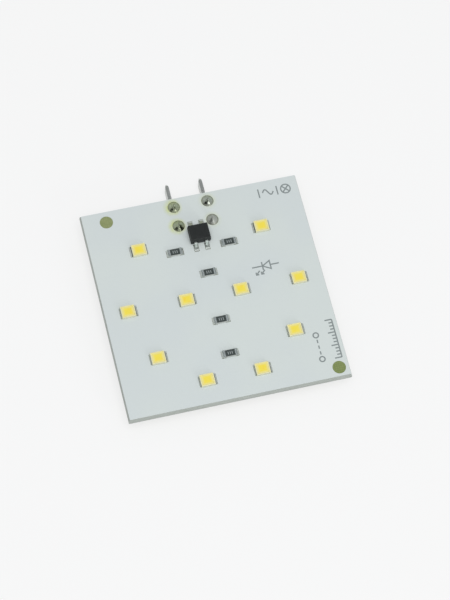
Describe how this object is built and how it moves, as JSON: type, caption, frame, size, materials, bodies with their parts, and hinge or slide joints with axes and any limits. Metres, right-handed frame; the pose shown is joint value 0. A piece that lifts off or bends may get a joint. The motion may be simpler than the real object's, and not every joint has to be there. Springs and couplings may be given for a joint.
{
  "type": "led module",
  "caption": "Square white circuit board for mains voltage with surface-mounted LEDs, chip resistors and a bridge rectifier, fed by blade terminals under its rear edge.",
  "frame": {"origin": "centre of the board's underside", "axes": "+Z out of the board's light-emitting side, +Y towards the blade terminals, X along the rear edge"},
  "size_m": [0.0506, 0.0555, 0.0077],
  "materials": {
    "laminate": "satin, faint weave of glass fibre",
    "copper": "satin, hidden under the mask",
    "solder_mask": "white, semi-matt",
    "led_chip": "polished, sealed in the fill",
    "led_housing": "pale moulding lit by the fill",
    "led_phosphor": "yellow silicone fill, soft gloss",
    "led_frame": "silver plated, dulled",
    "resistor_ceramic": "white ceramic",
    "resistor_coat": "black glaze",
    "resistor_cap": "tinned, bright",
    "rectifier_moulding": "black epoxy, fine grain",
    "tinned_lead": "tinned, satin",
    "tinned_brass": "tinned, satin",
    "solder": "bright solder, slightly dulled"
  },
  "bodies": {
    "root": {"blade_terminal_left": "tinned_brass", "blade_terminal_right": "tinned_brass", "board_copper": "copper", "board_laminate": "laminate", "led_centre_left_frame": "led_frame", "led_centre_left_housing": "led_housing", "led_centre_left_phosphor": "led_phosphor", "led_centre_right_frame": "led_frame", "led_centre_right_housing": "led_housing", "led_centre_right_phosphor": "led_phosphor", "led_chips": "led_chip", "led_front_left_frame": "led_frame", "led_front_left_housing": "led_housing", "led_front_left_phosphor": "led_phosphor", "led_front_right_frame": "led_frame", "led_front_right_housing": "led_housing", "led_front_right_phosphor": "led_phosphor", "led_lower_left_frame": "led_frame", "led_lower_left_housing": "led_housing", "led_lower_left_phosphor": "led_phosphor", "led_lower_right_frame": "led_frame", "led_lower_right_housing": "led_housing", "led_lower_right_phosphor": "led_phosphor", "led_rear_left_frame": "led_frame", "led_rear_left_housing": "led_housing", "led_rear_left_phosphor": "led_phosphor", "led_rear_right_frame": "led_frame", "led_rear_right_housing": "led_housing", "led_rear_right_phosphor": "led_phosphor", "led_side_left_frame": "led_frame", "led_side_left_housing": "led_housing", "led_side_left_phosphor": "led_phosphor", "led_side_right_frame": "led_frame", "led_side_right_housing": "led_housing", "led_side_right_phosphor": "led_phosphor", "rectifier_body": "rectifier_moulding", "rectifier_leads": "tinned_lead", "resistor_centre_caps": "resistor_cap", "resistor_centre_ceramic": "resistor_ceramic", "resistor_centre_coat": "resistor_coat", "resistor_front_caps": "resistor_cap", "resistor_front_ceramic": "resistor_ceramic", "resistor_front_coat": "resistor_coat", "resistor_lower_caps": "resistor_cap", "resistor_lower_ceramic": "resistor_ceramic", "resistor_lower_coat": "resistor_coat", "resistor_rear_left_caps": "resistor_cap", "resistor_rear_left_ceramic": "resistor_ceramic", "resistor_rear_left_coat": "resistor_coat", "resistor_rear_right_caps": "resistor_cap", "resistor_rear_right_ceramic": "resistor_ceramic", "resistor_rear_right_coat": "resistor_coat", "solder_joint_left_front": "solder", "solder_joint_left_rear": "solder", "solder_joint_right_front": "solder", "solder_joint_right_rear": "solder", "solder_mask": "solder_mask", "surface_solder": "solder"}
  },
  "joints": []
}
